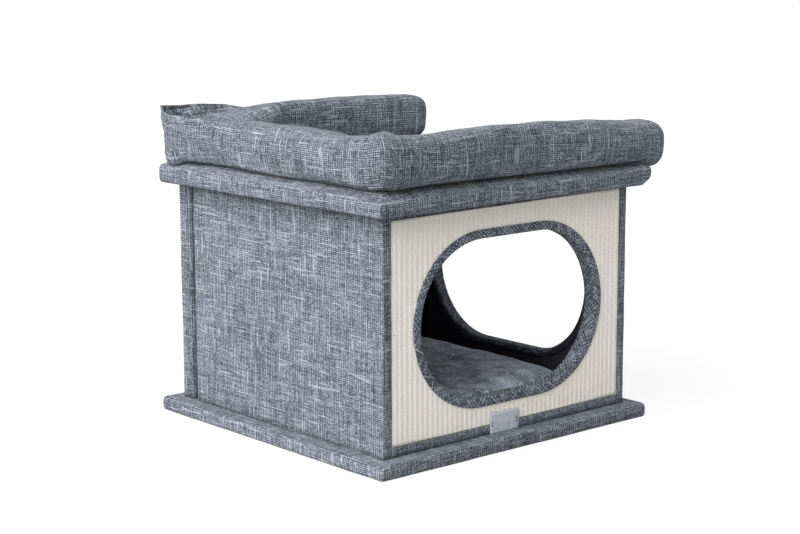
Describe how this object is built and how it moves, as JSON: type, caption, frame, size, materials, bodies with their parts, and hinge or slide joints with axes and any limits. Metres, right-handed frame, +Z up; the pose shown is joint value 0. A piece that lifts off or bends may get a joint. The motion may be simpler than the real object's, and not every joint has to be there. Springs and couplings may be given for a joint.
{
  "type": "cat cave",
  "caption": "Square linen-covered cat cave with oval doors in front and right side, sisal front, loose plush cushion and a lift-off bolster bed on its lid.",
  "frame": {"origin": "middle of the base's underside, on the floor", "axes": "+X right along the sisal front, +Y from the front to the closed rear wall, +Z up"},
  "size_m": [0.4808, 0.451, 0.4002],
  "materials": {
    "linen": "matte",
    "bias_binding": "matte",
    "sisal": "matte",
    "black_felt": "matte",
    "particle_board": "matte",
    "foam": "matte",
    "pale_plush": "matte",
    "slate_plush": "matte",
    "woven_patch": "matte",
    "undercloth": "matte",
    "hook_tape": "matte",
    "screw_steel": "satin"
  },
  "bodies": {
    "house": {"base_board": "particle_board", "base_cover": "linen", "base_screw_front_1": "screw_steel", "base_screw_front_2": "screw_steel", "base_screw_left_1": "screw_steel", "base_screw_left_2": "screw_steel", "base_screw_rear_1": "screw_steel", "base_screw_rear_2": "screw_steel", "base_screw_right_1": "screw_steel", "base_screw_right_2": "screw_steel", "base_undercloth": "undercloth", "ceiling_lining": "black_felt", "floor_lining": "black_felt", "front_board": "particle_board", "front_border": "linen", "front_lining": "black_felt", "front_rim": "bias_binding", "hook_pad_1": "hook_tape", "hook_pad_2": "hook_tape", "hook_pad_3": "hook_tape", "hook_pad_4": "hook_tape", "left_board": "particle_board", "left_cover": "linen", "left_gusset": "linen", "left_lining": "black_felt", "lid_board": "particle_board", "lid_cover": "linen", "lid_foam": "foam", "lid_screw_front_1": "screw_steel", "lid_screw_front_2": "screw_steel", "lid_screw_left_1": "screw_steel", "lid_screw_left_2": "screw_steel", "lid_screw_rear_1": "screw_steel", "lid_screw_rear_2": "screw_steel", "lid_screw_right_1": "screw_steel", "lid_screw_right_2": "screw_steel", "patch": "woven_patch", "rear_board": "particle_board", "rear_cover": "linen", "rear_lining": "black_felt", "right_board": "particle_board", "right_cover": "linen", "right_gusset": "linen", "right_lining": "black_felt", "right_rim": "bias_binding", "sisal_panel": "sisal"},
    "bed": {"bed_mat": "pale_plush", "bolster_front": "linen", "bolster_left": "linen", "bolster_rear": "linen", "loop_pad_1": "hook_tape", "loop_pad_2": "hook_tape", "loop_pad_3": "hook_tape", "loop_pad_4": "hook_tape"},
    "cushion": {"cushion": "slate_plush"}
  },
  "joints": [
    {"name": "bed_lift", "type": "slide", "parent": "house", "child": "bed", "axis": [0, 0, 1], "range_m": [0, 0.12]},
    {"name": "cushion_lift", "type": "slide", "parent": "house", "child": "cushion", "axis": [0, 0, 1], "range_m": [0, 0.235]}
  ]
}
